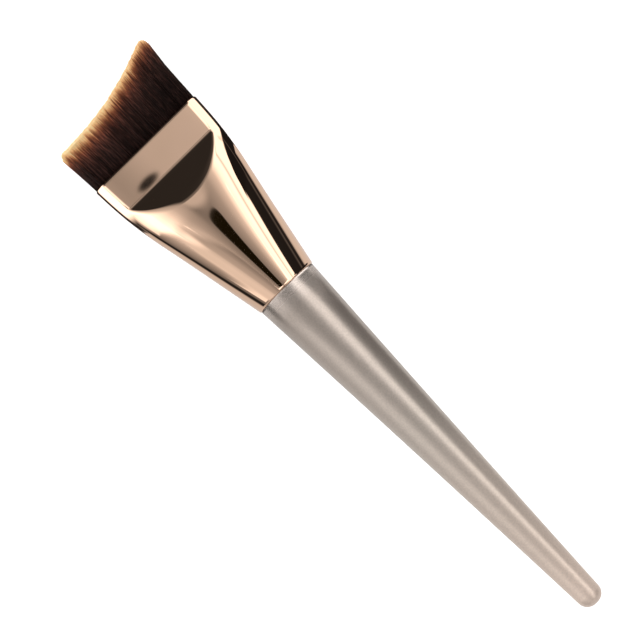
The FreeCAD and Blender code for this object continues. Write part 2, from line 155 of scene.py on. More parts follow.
def natural_spline(xs, ys, x):
    """Height at x of the smooth curve through the given points, straight at both ends."""
    n = len(xs)
    h = np.diff(xs)
    rows = np.eye(n)
    right = np.zeros(n)
    for i in range(1, n - 1):
        rows[i, i - 1], rows[i, i], rows[i, i + 1] = h[i - 1], 2 * (h[i - 1] + h[i]), h[i]
        right[i] = 6 * ((ys[i + 1] - ys[i]) / h[i] - (ys[i] - ys[i - 1]) / h[i - 1])
    bend = np.linalg.solve(rows, right)
    i = np.clip(np.searchsorted(xs, x) - 1, 0, n - 2)
    a, b = xs[i + 1] - x, x - xs[i]
    return ((bend[i] * a ** 3 + bend[i + 1] * b ** 3) / (6 * h[i])
            + (ys[i] / h[i] - bend[i] * h[i] / 6) * a
            + (ys[i + 1] / h[i] - bend[i + 1] * h[i] / 6) * b)


def soft_min(a, b, k):
    """The smaller of two heights, rounded over where they come within k of each other."""
    return np.minimum(a, b) - np.maximum(k - np.abs(a - b), 0) ** 2 / (4 * k)


def oval(t, half_width, half_thickness, fullness):
    """Point on the closed oval of the drawn tube, t from 0 to 1 from its long end on."""
    reach = (3 - fullness) / 2
    pulls = [(fullness, -fullness), (reach, 0), (fullness, fullness), (0, reach),
             (-fullness, fullness), (-reach, 0), (-fullness, -fullness), (0, -reach)]
    span = np.floor(t * 8).astype(int) % 8
    u = t * 8 - np.floor(t * 8)
    weights = ((1 - u) ** 3, 3 * u ** 3 - 6 * u ** 2 + 4, -3 * u ** 3 + 3 * u ** 2 + 3 * u + 1, u ** 3)
    x = np.zeros_like(t)
    z = np.zeros_like(t)
    for n, weight in enumerate(weights):
        for k in range(8):
            here = (span + n) % 8 == k
            x = x + np.where(here, weight * pulls[k][0] / 6, 0)
            z = z + np.where(here, weight * pulls[k][1] / 6, 0)
    return x * half_width, z * half_thickness


def tube(s, t, inset):
    """Points of the pressed tube, s behind the mouth and t round it."""
    half_width = natural_spline(STATIONS[:, 0], STATIONS[:, 1], s) - inset
    half_thickness = natural_spline(STATIONS[:, 0], STATIONS[:, 2], s) - inset
    fullness = natural_spline(STATIONS[:, 0], STATIONS[:, 3], s)
    x, z = oval(t, half_width, half_thickness, fullness)
    rise = (s - BAND_LENGTH) * FACET_SLOPE
    press = BAND_HALF - inset - soft_min(-rise, np.zeros_like(rise), VALLEY)
    z = np.sign(z) * soft_min(np.abs(z), press, PRESS_EDGE)
    return np.stack([x, -s, z], axis=-1)


def grid_faces(rows, columns, closed=False):
    """Quads of a grid closed round its columns, and round its rows too where asked."""
    faces = []
    for r in range(rows if closed else rows - 1):
        low, high = r * columns, (r + 1) % rows * columns
        for c in range(columns):
            d = (c + 1) % columns
            faces.append((low + c, high + c, high + d, low + d))
    return faces


def make_ferrule():
    """The pressed tube, skin and bore, with a bevelled mouth and a rounded rim."""
    columns = 384
    t = np.arange(columns) / columns
    places = np.concatenate([
        np.linspace(0.0, FINE_FROM, 22, endpoint=False),
        np.linspace(FINE_FROM, FINE_TO, 84, endpoint=False),
        np.linspace(FINE_TO, FERRULE_LENGTH - RIM_ROUND, 84),
    ])
    rings = []
    for turn in np.linspace(90, 0, 5)[:-1]:
        a = math.radians(turn)
        ring = tube(np.zeros(columns), t, MOUTH_BEVEL * (1 - math.cos(a)))
        ring[:, 1] = MOUTH_LIP - MOUTH_BEVEL * (1 - math.sin(a))
        rings.append(ring)
    for s in places[places > MOUTH_BEVEL]:
        rings.append(tube(np.full(columns, s), t, 0.0))
    for turn in np.linspace(0, 90, 6)[1:]:
        a = math.radians(turn)
        ring = tube(np.full(columns, FERRULE_LENGTH), t, RIM_ROUND * (1 - math.cos(a)))
        ring[:, 1] = -(FERRULE_LENGTH - RIM_ROUND * (1 - math.sin(a)))
        rings.append(ring)
    for s in np.linspace(FERRULE_LENGTH, 0, 12):
        rings.append(tube(np.full(columns, s), t, WALL))
    return new_mesh("ferrule_pressed", np.concatenate(rings), grid_faces(len(rings), columns, closed=True))


def make_handle():
    """The turned handle with its tenon, one profile swept round."""
    columns = 192
    a = np.arange(columns) * 2 * math.pi / columns
    end = FERRULE_LENGTH + HANDLE_LENGTH
    profile = [
        (TENON_END, TENON_TIP - TENON_CHAMFER),
        (TENON_END + TENON_CHAMFER, TENON_TIP),
        (FERRULE_LENGTH, TENON_ROOT),
        (FERRULE_LENGTH, HANDLE_TOP - SHOULDER_ROUND),
        (FERRULE_LENGTH + SHOULDER_ROUND / 3, HANDLE_TOP - SHOULDER_ROUND / 3),
        (FERRULE_LENGTH + SHOULDER_ROUND, HANDLE_TOP),
    ]

    def radius(s):
        u = (s - FERRULE_LENGTH) / HANDLE_LENGTH
        return HANDLE_TOP + (HANDLE_END - HANDLE_TOP) * u - HANDLE_HOLLOW * 4 * u * (1 - u)

    for s in np.linspace(FERRULE_LENGTH + 4 * SHOULDER_ROUND, end - HANDLE_TIP, 120):
        profile.append((s, radius(s)))
    flat = radius(end - HANDLE_TIP) - HANDLE_TIP
    for turn in np.linspace(0, 90, 16)[1:]:
        b = math.radians(turn)
        profile.append((end - HANDLE_TIP + HANDLE_TIP * math.sin(b),
                        flat + HANDLE_TIP * math.cos(b)))
    rings = [np.stack([r * np.cos(a), np.full(columns, -s), r * np.sin(a)], axis=-1) for s, r in profile]
    poles = np.array([(0, -TENON_END, 0), (0, -end, 0)])
    faces = grid_faces(len(rings), columns)
    end_ring = (len(rings) - 1) * columns
    first_pole, last_pole = len(rings) * columns, len(rings) * columns + 1
    for c in range(columns):
        d = (c + 1) % columns
        faces.append((first_pole, c, d))
        faces.append((end_ring + d, end_ring + c, last_pole))
    return new_mesh("handle_painted", np.concatenate(rings + [poles]), faces)


def flare(root, y):
    """How far a filament leans aside at the height y, by where it is rooted across the head.

    The short side leans out evenly, the long side more and more.
    """
    share = np.clip(y / LONG_SIDE, 0, 1.1)
    right = LONG_FLARE * root / ROOT_HALF_WIDTH * (0.45 * share + 0.62 * share ** 2)
    left = root / ROOT_HALF_WIDTH * (SHORT_FLARE + SHORT_BULGE) * share
    return np.where(root > 0, right, left)


def tip_height(x):
    """Height of the cut above the mouth, x across the head at the cut itself.

    It is a cubic curve, nearly level at the short side and climbing towards the long one, with
    both corners rounded.
    """
    left = -ROOT_HALF_WIDTH - 0.62
    right = ROOT_HALF_WIDTH + LONG_FLARE + 0.05
    rise = LONG_SIDE + LONG_TIP_RISE - SHORT_SIDE
    u = np.linspace(0, 1, 400)
    across = (3 * (1 - u) ** 2 * u * 0.52 + 3 * (1 - u) * u ** 2 * 0.80 + u ** 3) * (right - left) + left
    heights = SHORT_SIDE + (3 * (1 - u) * u ** 2 * 0.60 + u ** 3) * rise
    height = np.interp(x, across, heights)
    for corner, gap in ((LONG_CORNER, right - x), (SHORT_CORNER, x - left)):
        into = np.clip(corner - gap, 0, corner)
        height = height - (corner - np.sqrt(np.maximum(corner ** 2 - into ** 2, 0)))
    return height


def lumps(places, spacing, low, high):
    """Smooth random value along a line, one random number every so many millimetres."""
    knots = np.arange(-20.0, 20.0, spacing)
    return np.interp(places, knots, rng.uniform(low, high, len(knots)))


def filament_roots(count):
    """Random places in the pressed mouth, across it and through its thickness."""
    edge_x, edge_z = oval(np.linspace(0, 0.25, 60), ROOT_HALF_WIDTH, ROOT_OVAL_HALF, BUNDLE_FULLNESS)
    roots = []
    while len(roots) < count:
        x = rng.uniform(-15.4, 15.4, 4000)
        z = rng.uniform(-3.05, 3.05, 4000)
        limit = np.interp(np.abs(x), edge_x[::-1], edge_z[::-1])
        keep = np.abs(z) < np.minimum(limit, ROOT_HALF_THICKNESS)
        roots.extend(zip(x[keep], z[keep]))
    return np.array(roots[:count]).T


def comb_filaments(count):
    """Root, reach, lean, radius and dye of every filament; tufts lean and colour together."""
    x, z = filament_roots(count)
    layer = np.floor((z + 3.1) / LAYER)
    slot = x + layer * LAYER_SHIFT
    over = np.clip(np.abs(z) - 1.3, 0, TIP_DOME)
    dome = 0.8 * (TIP_DOME - np.sqrt(np.maximum(TIP_DOME ** 2 - over ** 2, 0)))
    stray = np.where(rng.uniform(0, 1, count) < STRAY_SHARE, rng.uniform(0.0, 0.35, count), 0.0)
    top = tip_height(x + flare(x, tip_height(x))) - dome
    top = top - np.abs(rng.normal(0, 0.20, count)) - lumps(slot, 0.33, 0.0, 0.30) + stray
    aside = np.round(slot / TUFT) * TUFT + lumps(slot, TUFT, -0.1, 0.1) - slot
    lean_x = 0.30 * aside + rng.normal(0, 0.09, count)
    lean_z = rng.normal(0, 0.10, count)
    tuft = (np.floor((slot + 20) / DYE_TUFT) + DYE_TUFTS_A_LAYER * layer).astype(int)
    tone = np.clip(rng.uniform(0.05, 0.95, DYE_TUFTS)[tuft] + rng.normal(0, 0.03, count), 0, 1)
    dip = rng.normal(0, 0.26, DYE_TUFTS)[tuft] + rng.normal(0, 0.22, count) + 0.03 * x
    radius = rng.uniform(THINNEST, THICKEST, count)
    spin = rng.uniform(0, 2 * math.pi, count)
    return {"x": x, "z": z, "top": top, "lean_x": lean_x, "lean_z": lean_z,
            "tone": tone, "dip": dip, "radius": radius, "spin": spin}


# A filament's three rings of three corners, by share of its height, and their share of its
# radius; its tip is a tenth point.
RING_LEVELS = np.array([-0.15, 0.60, 0.965])
RING_WIDTHS = np.array([1.0, 0.95, 0.78])
SIDES = [(0, 1), (1, 2), (2, 0)]
FILAMENT_FACES = ([(low + k, low + m, low + 3 + m, low + 3 + k) for low in (0, 3) for k, m in SIDES]
                  + [(6 + k, 6 + m, 9) for k, m in SIDES] + [(2, 1, 0)])
FILAMENT_POINTS = 10


def bend_filaments(hair, levels):
    """Middle of each filament at shares of its height: one row a filament, one column a level."""
    root = hair["x"][:, None]
    y = levels * hair["top"][:, None]
    bent = np.maximum(levels, 0) ** 2
    x = root + flare(root, y) + hair["lean_x"][:, None] * bent
    spread = THICK_FLARE * hair["z"] / ROOT_HALF_THICKNESS
    z = hair["z"][:, None] + spread[:, None] * np.maximum(y, 0) / LONG_SIDE + hair["lean_z"][:, None] * bent
    return np.stack([x, y, z], axis=-1)


def make_bristle_half(name, hair):
    """One mesh of single filaments, its UV map holding each one's tone and depth under the cut."""
    count = len(hair["x"])
    turn = hair["spin"][:, None] + np.arange(3) * 2 * math.pi / 3
    out = np.stack([np.cos(turn), np.zeros_like(turn), np.sin(turn)], axis=-1)
    width = hair["radius"][:, None] * RING_WIDTHS
    rings = bend_filaments(hair, RING_LEVELS)[:, :, None] + width[:, :, None, None] * out[:, None]
    tips = bend_filaments(hair, np.array([1.0]))
    points = np.concatenate([rings.reshape(count, 9, 3), tips], axis=1)
    faces = [tuple(base + corner for corner in face)
             for base in range(0, count * FILAMENT_POINTS, FILAMENT_POINTS) for face in FILAMENT_FACES]
    piece = new_mesh(name, points, faces)
    depth = (hair["top"] + hair["dip"] + DEPTH_SHIFT)[:, None] - points[:, :, 1]
    marks = np.stack([np.repeat(hair["tone"], FILAMENT_POINTS), depth.ravel() / DEPTH_SPAN], axis=-1)
    corners = np.zeros(len(piece.data.loops), int)
    piece.data.loops.foreach_get("vertex_index", corners)
    piece.data.uv_layers.new(name="OFBake").data.foreach_set("uv", marks[corners].ravel())
    return piece


def make_bristles():
    """Single filaments from inside the mouth to the cut, in two halves across the head."""
    hair = comb_filaments(FILAMENTS)
    order = np.argsort(hair["x"])
    halves = {"bristles_short_side": order[:FILAMENTS // 2], "bristles_long_side": order[FILAMENTS // 2:]}
    return [make_bristle_half(name, {key: values[chosen] for key, values in hair.items()})
            for name, chosen in halves.items()]


def make_core():
    """Dark body of the bundle under its outer filaments, so that no light comes through."""
    columns = 96
    sunk = 2.0
    t = np.arange(columns) / columns
    rings = []
    for level in np.linspace(0, 1, 14):
        x, z = oval(t, ROOT_HALF_WIDTH - 0.55, 5.1, BUNDLE_FULLNESS)
        top = tip_height(x) - 3.4
        y = level * (top + sunk) - sunk
        spread = np.maximum(y, 0) / LONG_SIDE
        x = x + np.where(x > 0, LONG_FLARE, SHORT_FLARE) * x / ROOT_HALF_WIDTH * spread
        z = np.sign(z) * np.minimum(np.abs(z), 2.6) * (1 + 0.1 * spread)
        rings.append(np.stack([x, y, z], axis=-1))
    count = len(rings)
    faces = [tuple(reversed(face)) for face in grid_faces(count, columns)]
    faces.append(tuple(range(columns)))
    faces.append(tuple((count - 1) * columns + c for c in reversed(range(columns))))
    return new_mesh("bristles_core", np.concatenate(rings), faces)


def node(tree, kind, **values):
    made = tree.nodes.new(kind)
    for name, value in values.items():
        setattr(made, name, value)
    return made


def wire(tree, out, into):
    tree.links.new(out, into)


def ramp(tree, factor, stops):
    """A colour read off straight blends between stops of (place, colour)."""
    made = node(tree, "ShaderNodeValToRGB")
    elements = made.color_ramp.elements
    while len(elements) > 1:
        elements.remove(elements[-1])
    elements[0].position, elements[0].color = stops[0][0], (*stops[0][1], 1)
    for place, colour in stops[1:]:
        element = elements.new(place)
        element.color = (*colour, 1)
    wire(tree, factor, made.inputs["Fac"])
    return made.outputs["Color"]


def math_node(tree, operation, *inputs):
    """Result of a sum whose inputs are numbers or sockets."""
    made = node(tree, "ShaderNodeMath", operation=operation)
    for n, value in enumerate(inputs):
        if isinstance(value, (int, float)):
            made.inputs[n].default_value = value
        else:
            wire(tree, value, made.inputs[n])
    return made.outputs[0]


def curve(tree, value, points):
    """A value read off straight lines between the points (place, height), flat outside them."""
    low, high = points[0][0], points[-1][0]
    top = max(height for place, height in points)
    share = math_node(tree, "MULTIPLY_ADD", value, 1 / (high - low), -low / (high - low))
    stops = [((place - low) / (high - low), (height / top,) * 3) for place, height in points]
    return math_node(tree, "MULTIPLY", ramp(tree, share, stops), top)


def smooth_step(tree, value, start, end):
    """0 on the start's side and 1 on the end's side, soft between them, whichever is the larger."""
    made = node(tree, "ShaderNodeMapRange", interpolation_type="SMOOTHSTEP")
    wire(tree, value, made.inputs["Value"])
    made.inputs["From Min"].default_value = start
    made.inputs["From Max"].default_value = end
    return made.outputs["Result"]


def times(tree, value, *others):
    """Product of two or more values."""
    for other in others:
        value = math_node(tree, "MULTIPLY", value, other)
    return value


def noise_node(tree, vector, scale, detail=2.0, dimensions="3D"):
    """Cloudy value around a half."""
    made = node(tree, "ShaderNodeTexNoise", noise_dimensions=dimensions)
    made.inputs["Scale"].default_value = scale
    made.inputs["Detail"].default_value = detail
    wire(tree, vector, made.inputs["Vector"])
    return made.outputs["Fac"]


def grey(level):
    return (level, level, level)


def multiply_colours(tree, colour, other):
    """The product of two colours, and the socket that says how much of it is taken."""
    mix = node(tree, "ShaderNodeMix", data_type="RGBA", blend_type="MULTIPLY")
    mix.inputs["Factor"].default_value = 1.0
    wire(tree, colour, mix.inputs[6])
    wire(tree, other, mix.inputs[7])
    return mix.outputs[2], mix.inputs["Factor"]


def new_material(name):
    material = bpy.data.materials.new(name)
    material.use_nodes = True
    tree = material.node_tree
    return material, tree, tree.nodes["Principled BSDF"]


def ferrule_material():
    """Polished rose-gold plating, its colour and gloss very slightly cloudy."""
    material, tree, shader = new_material("rose_gold_plate")
    shader.inputs["Metallic"].default_value = 1.0
    place = node(tree, "ShaderNodeTexCoord").outputs["Object"]
    cloud = noise_node(tree, place, 90.0, 3.0)
    colour = ramp(tree, cloud, [(0.3, (0.82, 0.555, 0.395)), (0.7, (0.85, 0.575, 0.415))])
    wire(tree, colour, shader.inputs["Base Color"])
    rough = node(tree, "ShaderNodeMapRange")
    rough.inputs["To Min"].default_value = 0.012
    rough.inputs["To Max"].default_value = 0.030
    wire(tree, cloud, rough.inputs["Value"])
    wire(tree, rough.outputs["Result"], shader.inputs["Roughness"])
    return material


def handle_material():
    """Fine-grained champagne paint, more metallic and darker towards the ferrule, with a painted highlight
    in a narrow ring just under it.
    """
    material, tree, shader = new_material("champagne_satin_paint")
    place = node(tree, "ShaderNodeTexCoord").outputs["Object"]
    along = node(tree, "ShaderNodeSeparateXYZ")
    wire(tree, place, along.inputs[0])
    from_rim = math_node(tree, "MULTIPLY_ADD", along.outputs["Y"], -10.0, 0.18)
    wire(tree, curve(tree, from_rim, [(0.0, 0.85), (0.4, 0.74), (1.0, 0.42)]), shader.inputs["Metallic"])
    wire(tree, curve(tree, from_rim, [(0.0, 0.25), (0.06, 0.33), (1.0, 0.36)]), shader.inputs["Roughness"])
    fine = noise_node(tree, place, 2600.0)
    # Paint colour along the handle from its rim. The lighter first stop, over the first few millimetres, is
    # a painted highlight and not the paint's own colour.
    base = ramp(tree, from_rim, [
        (0.0, (0.66, 0.57, 0.51)),
        (0.045, (0.57, 0.485, 0.425)),
        (0.45, (0.63, 0.545, 0.475)),
        (0.85, (0.72, 0.59, 0.50)),
        (1.0, (0.80, 0.64, 0.54)),
    ])
    grain = ramp(tree, fine, [(0.35, grey(0.88)), (0.65, grey(1.0))])
    wire(tree, multiply_colours(tree, base, grain)[0], shader.inputs["Base Color"])
    bump = node(tree, "ShaderNodeBump")
    bump.inputs["Strength"].default_value = 0.12
    bump.inputs["Distance"].default_value = 0.0001
    wire(tree, fine, bump.inputs["Height"])
    wire(tree, bump.outputs["Normal"], shader.inputs["Normal"])
    return material


def bristle_material():
    """Pale tips, rust under them and dark brown below, streaked by tuft."""
    material, tree, shader = new_material("dyed_filament")
    uv = node(tree, "ShaderNodeUVMap", uv_map="OFBake")
    split = node(tree, "ShaderNodeSeparateXYZ")
    wire(tree, uv.outputs["UV"], split.inputs[0])
    tone, depth = split.outputs["X"], split.outputs["Y"]
    spread = node(tree, "ShaderNodeVectorMath", operation="MULTIPLY")
    wire(tree, uv.outputs["UV"], spread.inputs[0])
    spread.inputs[1].default_value = (70.0, 11.0, 1.0)
    streak = noise_node(tree, spread.outputs[0], 1.0, 1.5, "2D")
    light = math_node(tree, "MULTIPLY_ADD", streak, 1.3, -0.50)
    light = math_node(tree, "MULTIPLY_ADD", tone, 0.45, light)
    place = math_node(tree, "MULTIPLY_ADD", light, -0.050, 0.028)
    place = math_node(tree, "ADD", depth, place)
    dyed = ramp(tree, place, [
        (0.000, (1.00, 0.86, 0.54)),
        (0.055, (1.00, 0.76, 0.40)),
        (0.080, (1.00, 0.61, 0.28)),
        (0.105, (0.60, 0.250, 0.110)),
        (0.135, (0.260, 0.080, 0.039)),
        (0.175, (0.120, 0.037, 0.022)),
        (0.230, (0.062, 0.0215, 0.0145)),
        (0.310, (0.030, 0.0120, 0.0090)),
        (0.520, (0.018, 0.0080, 0.0062)),
    ])
    bright = ramp(tree, light, [(0.15, grey(0.45)), (0.42, grey(0.9)), (0.75, (3.0, 3.2, 3.4))])
    colour, share = multiply_colours(tree, dyed, bright)
    wire(tree, smooth_step(tree, depth, 0.10, 0.20), share)
    wire(tree, colour, shader.inputs["Base Color"])
    shader.inputs["Roughness"].default_value = 0.45
    shader.inputs["Specular IOR Level"].default_value = 0.10
    return material


def plain_material(name, colour, roughness):
    """A slightly uneven surface for what lies inside."""
    material, tree, shader = new_material(name)
    place = node(tree, "ShaderNodeTexCoord").outputs["Object"]
    darker = tuple(0.8 * c for c in colour)
    uneven = ramp(tree, noise_node(tree, place, 300.0), [(0.3, darker), (0.7, colour)])
    wire(tree, uneven, shader.inputs["Base Color"])
    shader.inputs["Roughness"].default_value = roughness
    return material


def make_floor():
    """White floor that keeps the brush's shadow; only the camera sees its glow."""
    half = 3
    corners = [(-half, -half, 0), (half, -half, 0), (half, half, 0), (-half, half, 0)]
    mesh = bpy.data.meshes.new("floor")
    mesh.from_pydata(corners, [], [(0, 1, 2, 3)])
    floor = bpy.data.objects.new("floor", mesh)
    bpy.context.scene.collection.objects.link(floor)
    floor.location.z = -0.00005
    material, tree, shader = new_material("white_floor")
    shader.inputs["Base Color"].default_value = (0.85, 0.85, 0.85, 1)
    shader.inputs["Roughness"].default_value = 0.9
    shader.inputs["Specular IOR Level"].default_value = 0.0
    seen = node(tree, "ShaderNodeLightPath").outputs["Is Camera Ray"]
    glow = node(tree, "ShaderNodeEmission")
    wire(tree, math_node(tree, "MULTIPLY", seen, 0.62), glow.inputs["Strength"])
    both = node(tree, "ShaderNodeAddShader")
    wire(tree, shader.outputs["BSDF"], both.inputs[0])
    wire(tree, glow.outputs[0], both.inputs[1])
    wire(tree, both.outputs[0], tree.nodes["Material Output"].inputs["Surface"])
    mesh.materials.append(material)
    floor.visible_glossy = False


# Light that shiny surfaces mirror, by its angle in degrees from straight overhead: negative
# angles lie to the left of the brush, positive ones to the right.
ACROSS = [
    (-180, 0.90), (-114, 0.88), (-107, 0.03), (-97, 0.02), (-93, 0.22), (-84, 0.37),
    (-69, 0.60), (-58, 0.88), (-46, 0.90), (-40, 0.78), (-35, 0.55), (-28, 0.48),
    (-22, 0.37), (-8, 0.30), (3, 0.36), (12, 0.58), (20, 1.08), (26, 2.15),
    (34, 2.60), (36.5, 1.90), (38, 1.10), (40, 2.30), (45.5, 1.90), (48.5, 0.025),
    (80, 0.02), (87, 0.14), (91, 0.02), (101, 0.04), (106, 0.75), (114, 1.00),
    (180, 0.95),
]
# The same by its angle towards the bristles.
ALONG = [(-90, 1.0), (20, 1.0), (24, 0.75), (28, 0.50), (31, 0.12), (60, 0.10), (90, 0.4)]


def make_world():
    """White to the camera, plain light on what is matt, and the studio's bands in what is shiny.

    The plain light is a little stronger from ahead, where the bristles' tips face.
    """
    world = bpy.data.worlds.new("studio")
    bpy.context.scene.world = world
    world.use_nodes = True
    tree = world.node_tree
    tree.nodes.clear()
    direction = node(tree, "ShaderNodeTexCoord").outputs["Generated"]
    split = node(tree, "ShaderNodeSeparateXYZ")
    wire(tree, direction, split.inputs[0])
    x, y, z = split.outputs
    side = math_node(tree, "DEGREES", math_node(tree, "ARCTAN2", x, z))
    ahead = math_node(tree, "DEGREES", math_node(tree, "ARCSINE", y))
    level = math_node(tree, "MULTIPLY", curve(tree, side, ACROSS), curve(tree, ahead, ALONG))
    path = node(tree, "ShaderNodeLightPath")
    mirrored = node(tree, "ShaderNodeBackground")
    wire(tree, level, mirrored.inputs["Strength"])
    soft = node(tree, "ShaderNodeBackground")
    ahead_light = math_node(tree, "MULTIPLY_ADD", smooth_step(tree, y, 0.2, 0.9), 2.4, 0.90)
    wire(tree, ahead_light, soft.inputs["Strength"])
    white = node(tree, "ShaderNodeBackground")
    lit = node(tree, "ShaderNodeMixShader")
    wire(tree, path.outputs["Is Glossy Ray"], lit.inputs[0])
    wire(tree, soft.outputs[0], lit.inputs[1])
    wire(tree, mirrored.outputs[0], lit.inputs[2])
    last = node(tree, "ShaderNodeMixShader")
    wire(tree, path.outputs["Is Camera Ray"], last.inputs[0])
    wire(tree, lit.outputs[0], last.inputs[1])
    wire(tree, white.outputs[0], last.inputs[2])
    out = node(tree, "ShaderNodeOutputWorld")
    wire(tree, last.outputs[0], out.inputs["Surface"])
    world.cycles.sampling_method = "NONE"


def make_card(name, corners, paint, tint=(1.0, 1.0, 1.0)):
    """A board of the studio that is seen only in what is shiny.

    paint gets the node tree and the x, y and z of the place, in metres, and returns the
    strength of the light there and how much of the board is there at all.
    """
    mesh = bpy.data.meshes.new(name)
    mesh.from_pydata(corners, [], [(0, 1, 2, 3)])
    card = bpy.data.objects.new(name, mesh)
    bpy.context.scene.collection.objects.link(card)
    material = bpy.data.materials.new(name)
    material.use_nodes = True
    tree = material.node_tree
    tree.nodes.clear()
    split = node(tree, "ShaderNodeSeparateXYZ")
    wire(tree, node(tree, "ShaderNodeTexCoord").outputs["Object"], split.inputs[0])
    strength, there = paint(tree, *split.outputs)
    glow = node(tree, "ShaderNodeEmission")
    glow.inputs["Color"].default_value = (*tint, 1)
    if isinstance(strength, (int, float)):
        glow.inputs["Strength"].default_value = strength
    else:
        wire(tree, strength, glow.inputs["Strength"])
    mix = node(tree, "ShaderNodeMixShader")
    if isinstance(there, (int, float)):
        mix.inputs[0].default_value = there
    else:
        wire(tree, there, mix.inputs[0])
    wire(tree, node(tree, "ShaderNodeBsdfTransparent").outputs[0], mix.inputs[1])
    wire(tree, glow.outputs[0], mix.inputs[2])
    out = node(tree, "ShaderNodeOutputMaterial")
    wire(tree, mix.outputs[0], out.inputs["Surface"])
    material.cycles.emission_sampling = "NONE"
    mesh.materials.append(material)
    card.visible_camera = False
    card.visible_diffuse = False
    card.visible_transmission = False
    card.visible_shadow = False


# Boards lie overhead or stand beside the brush, close to it or far away, in metres.
CARD_HEIGHT = 0.8
NEAR_SIDE = 0.03
FAR_SIDE = 0.3

# How bright the left panel is, by its place across.
PANEL = [(-2.0, 1.25), (-1.72, 1.45), (-1.44, 2.00), (-0.95, 2.25), (-0.80, 2.30), (-0.625, 1.90),
         (-0.443, 1.46), (-0.323, 0.98), (-0.245, 0.70), (-0.170, 0.55), (-0.110, 0.46)]
# How bright the light over the flat band is, by its place across.
BAND = [(-0.40, 2.20), (-0.10, 1.60), (-0.05, 1.10), (-0.030, 0.75), (-0.024, 0.50),
        (-0.0195, 0.39), (-0.0141, 0.44), (-0.0088, 0.53), (-0.0034, 0.60), (0.018, 0.63),
        (0.024, 0.75), (0.050, 1.30), (0.10, 1.80), (0.40, 2.20)]
# Where the pale board on the right begins ahead, by the height over the floor.
FAR_BORDER = [(-0.13, 0.045), (0.0, 0.046), (0.037, 0.049), (0.092, 0.0545), (0.115, 0.0550),
              (0.140, 0.057), (0.171, 0.0595), (0.195, 0.062), (0.217, 0.065), (0.250, 0.066),
              (0.34, 0.066)]
# Where the dark board close to the brush ends ahead, in the same way.
NEAR_BORDER = [(-0.020, 0.0595), (-0.010, 0.0575), (0.0, 0.0550), (0.0058, 0.0538),
               (0.0110, 0.0529), (0.0148, 0.0523), (0.0185, 0.0520), (0.0210, 0.0514),
               (0.0231, 0.0502), (0.0251, 0.0489), (0.0271, 0.0479), (0.0285, 0.0468),
               (0.0299, 0.0447), (0.0348, 0.0404), (0.0427, 0.0338)]
# How bright the two pale boards on the left are by their height, and the one beside the handle
# by its place along it.
LEFT_NEAR = [(0.002, 0.02), (0.006, 0.10), (0.009, 0.70), (0.0115, 1.40), (0.014, 1.85), (0.022, 2.30)]
LEFT_DIM = [(0.024, 0.90), (0.036, 0.92), (0.0425, 0.80), (0.047, 0.58), (0.0535, 0.52),
            (0.0588, 0.50), (0.066, 0.41), (0.082, 0.29)]
HANDLE_SIDE = [(-0.085, 0.45), (-0.040, 0.24), (-0.015, 0.05), (0.015, 0.01)]


def overhead(left, right, low, high, drop=0.0):
    """Corners of a level board over the brush, low and high being its ends along Y."""
    z = CARD_HEIGHT - drop
    return [(left, low, z), (right, low, z), (right, high, z), (left, high, z)]


def upright(x, low, high, bottom, top):
    """Corners of a standing board beside the brush, low and high being its ends along Y."""
    return [(x, low, bottom), (x, high, bottom), (x, high, top), (x, low, top)]


def minus(tree, value, other):
    return math_node(tree, "SUBTRACT", value, other)


def straight(tree, value, slope, offset):
    """Height of a straight line at a value."""
    return math_node(tree, "MULTIPLY_ADD", value, slope, offset)


def squared_distance(tree, aside, ahead, half_width, half_length):
    """1 on the border of an oval with these half sizes, and less inside it."""
    aside = math_node(tree, "DIVIDE", aside, half_width)
    ahead = math_node(tree, "DIVIDE", ahead, half_length)
    return math_node(tree, "ADD", times(tree, aside, aside), times(tree, ahead, ahead))


def paint_flag(tree, x, y, z):
    """Dark slanted board over the taper, with a rounded end."""
    aside = minus(tree, x, straight(tree, y, 2.756, -0.7073))
    beyond = math_node(tree, "MAXIMUM", minus(tree, y, 0.249), 0.0)
    reach = squared_distance(tree, aside, beyond, 0.080, 0.0115)
    return 0.0103, smooth_step(tree, reach, 1.15, 0.85)


def paint_band_light(tree, x, y, z):
    """Light over the flat band, fading to the left, with one soft dark spot."""
    away = squared_distance(tree, minus(tree, x, -0.0100), minus(tree, y, 0.1860), 0.0053, 0.0022)
    spot = straight(tree, smooth_step(tree, away, 0.30, 1.4), 0.98, 0.02)
    return times(tree, curve(tree, x, BAND), spot), smooth_step(tree, y, 0.100, 0.101)


def paint_left_panel(tree, x, y, z):
    """Large soft panel at the left, its lower edge slanted."""
    edge = math_node(tree, "MAXIMUM", straight(tree, x, 0.188, 0.281), straight(tree, x, 0.065, 0.195))
    soft = smooth_step(tree, minus(tree, y, edge), -0.027, 0.022)
    return curve(tree, x, PANEL), times(tree, soft, smooth_step(tree, x, -0.08, -0.17))


def paint_front_panel(tree, x, y, z):
    """Soft light ahead of the dark board, over the foot of the facet."""
    ends = times(tree, smooth_step(tree, x, 0.20, 0.02), smooth_step(tree, x, -0.62, -0.40))
    return 0.66, times(tree, smooth_step(tree, y, 0.262, 0.276), ends)


def paint_right_side(tree, x, y, z):
    """Pale board beside the flat band."""
    return 1.95, smooth_step(tree, minus(tree, y, curve(tree, z, FAR_BORDER)), -0.003, 0.003)


def paint_right_near(tree, x, y, z):
    """Dark board close to the taper, a faint light line along it."""
    off_line = math_node(tree, "ABSOLUTE", minus(tree, z, straight(tree, y, -0.1, 0.0152)))
    level = straight(tree, smooth_step(tree, off_line, 0.0010, 0.0002), 0.09, 0.014)
    back = smooth_step(tree, y, 0.0405, 0.0430)
    front = smooth_step(tree, minus(tree, y, curve(tree, z, NEAR_BORDER)), 0.0003, -0.0004)
    foot = straight(tree, smooth_step(tree, y, 0.0470, 0.0510), -0.026, 0.0055)
    return level, times(tree, back, front, smooth_step(tree, minus(tree, z, foot), -0.0005, 0.0008))


